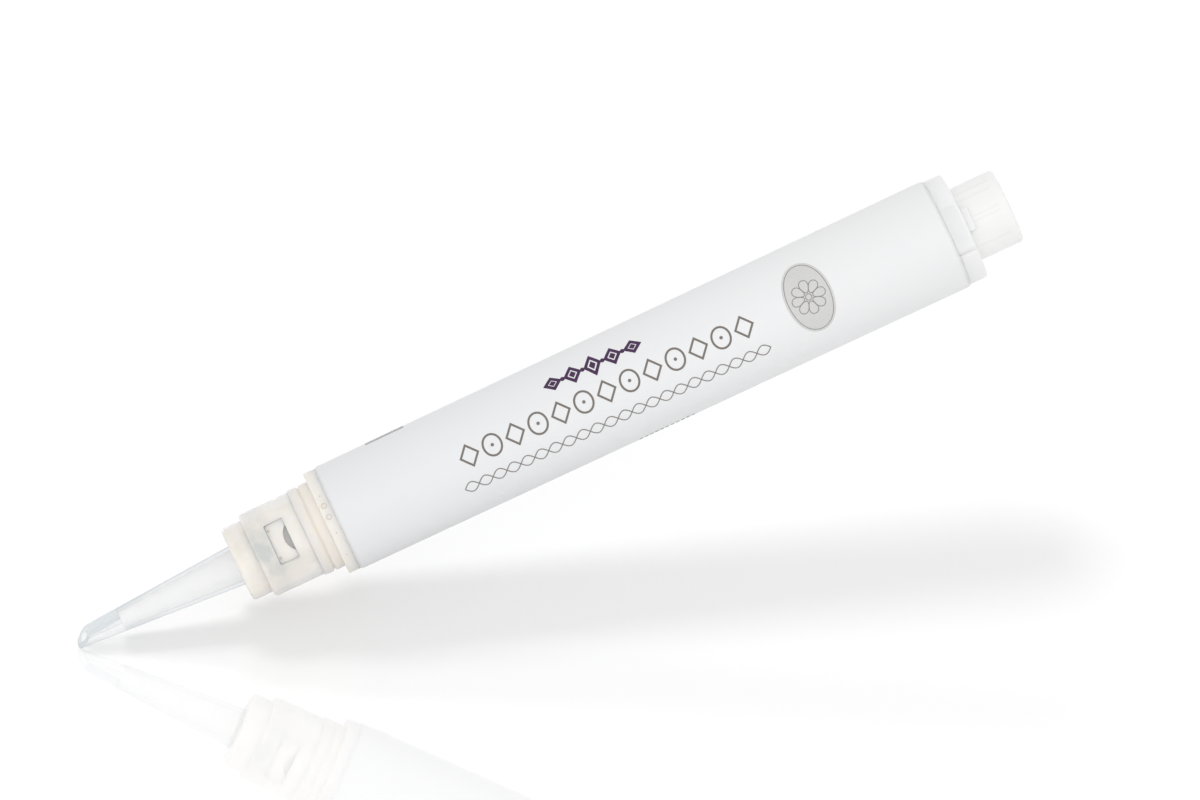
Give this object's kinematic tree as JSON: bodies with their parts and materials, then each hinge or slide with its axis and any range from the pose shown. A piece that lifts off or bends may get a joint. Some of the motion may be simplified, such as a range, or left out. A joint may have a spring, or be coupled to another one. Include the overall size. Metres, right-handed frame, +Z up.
{
  "type": "nail polish remover pen",
  "caption": "Slim click-operated cosmetic pen with a labelled barrel, a clear clip-on nozzle with a ground tip, a screw-driven piston and a spring-loaded push button.",
  "frame": {"origin": "on the pen's axis at the front face of the connector's flange, where a cap seats", "axes": "+X along the pen's axis from the nozzle towards the push button, +Z up with the pen lying down, -Y the side with the snap window that the picture shows"},
  "size_m": [0.1152, 0.013, 0.013],
  "materials": {
    "clear_nozzle": "clear, glossy",
    "clear_collar": "clear with a grey cast, glossy",
    "natural_plastic": "translucent natural polypropylene, satin",
    "white_plastic": "satin white",
    "label_film": "satin printed film",
    "milky_plastic": "translucent white, satin",
    "silicone": "translucent silicone, matt",
    "dark_rubber": "matt",
    "spring_steel": "bright drawn wire"
  },
  "bodies": {
    "pen_body": {"nozzle": "clear_nozzle", "nozzle_gasket": "silicone", "tip_holder": "clear_collar", "valve_retainer": "natural_plastic", "check_valve": "silicone", "front_connector": "natural_plastic", "connector_seal": "dark_rubber", "barrel": "white_plastic", "label": "label_film", "drive_nut": "white_plastic", "return_spring": "spring_steel", "fixed_cam_ring": "white_plastic", "mechanism_sleeve": "white_plastic", "end_plug": "milky_plastic"},
    "button": {"push_button": "milky_plastic", "cam_tube": "milky_plastic"},
    "rotor": {"ratchet_rotor": "white_plastic"},
    "piston": {"piston_core": "white_plastic", "piston_seal": "silicone"},
    "rod": {"screw_rod": "white_plastic"}
  },
  "joints": [
    {"name": "button_press", "type": "slide", "parent": "pen_body", "child": "button", "axis": [-1, 0, 0], "range_m": [0, 0.003], "stiffness_N_per_m": 1000, "springref_m": -0.002, "deforming": ["return_spring"]},
    {"name": "rotor_turn", "type": "hinge", "parent": "button", "child": "rotor", "pos_m": [0.05, 0, 0], "axis": [-1, 0, 0], "range_deg": [0, 3420]},
    {"name": "piston_advance", "type": "slide", "parent": "pen_body", "child": "piston", "axis": [-1, 0, 0], "range_m": [0, 0.0285]},
    {"name": "rod_turn", "type": "hinge", "parent": "piston", "child": "rod", "pos_m": [0.0375, 0, 0], "axis": [-1, 0, 0], "range_deg": [0, 3420]}
  ],
  "couplings": [
    {"joint": "rod_turn", "follows": "piston_advance", "rad_per_m": 2094.4},
    {"joint": "rotor_turn", "follows": "piston_advance", "rad_per_m": 2094.4}
  ]
}
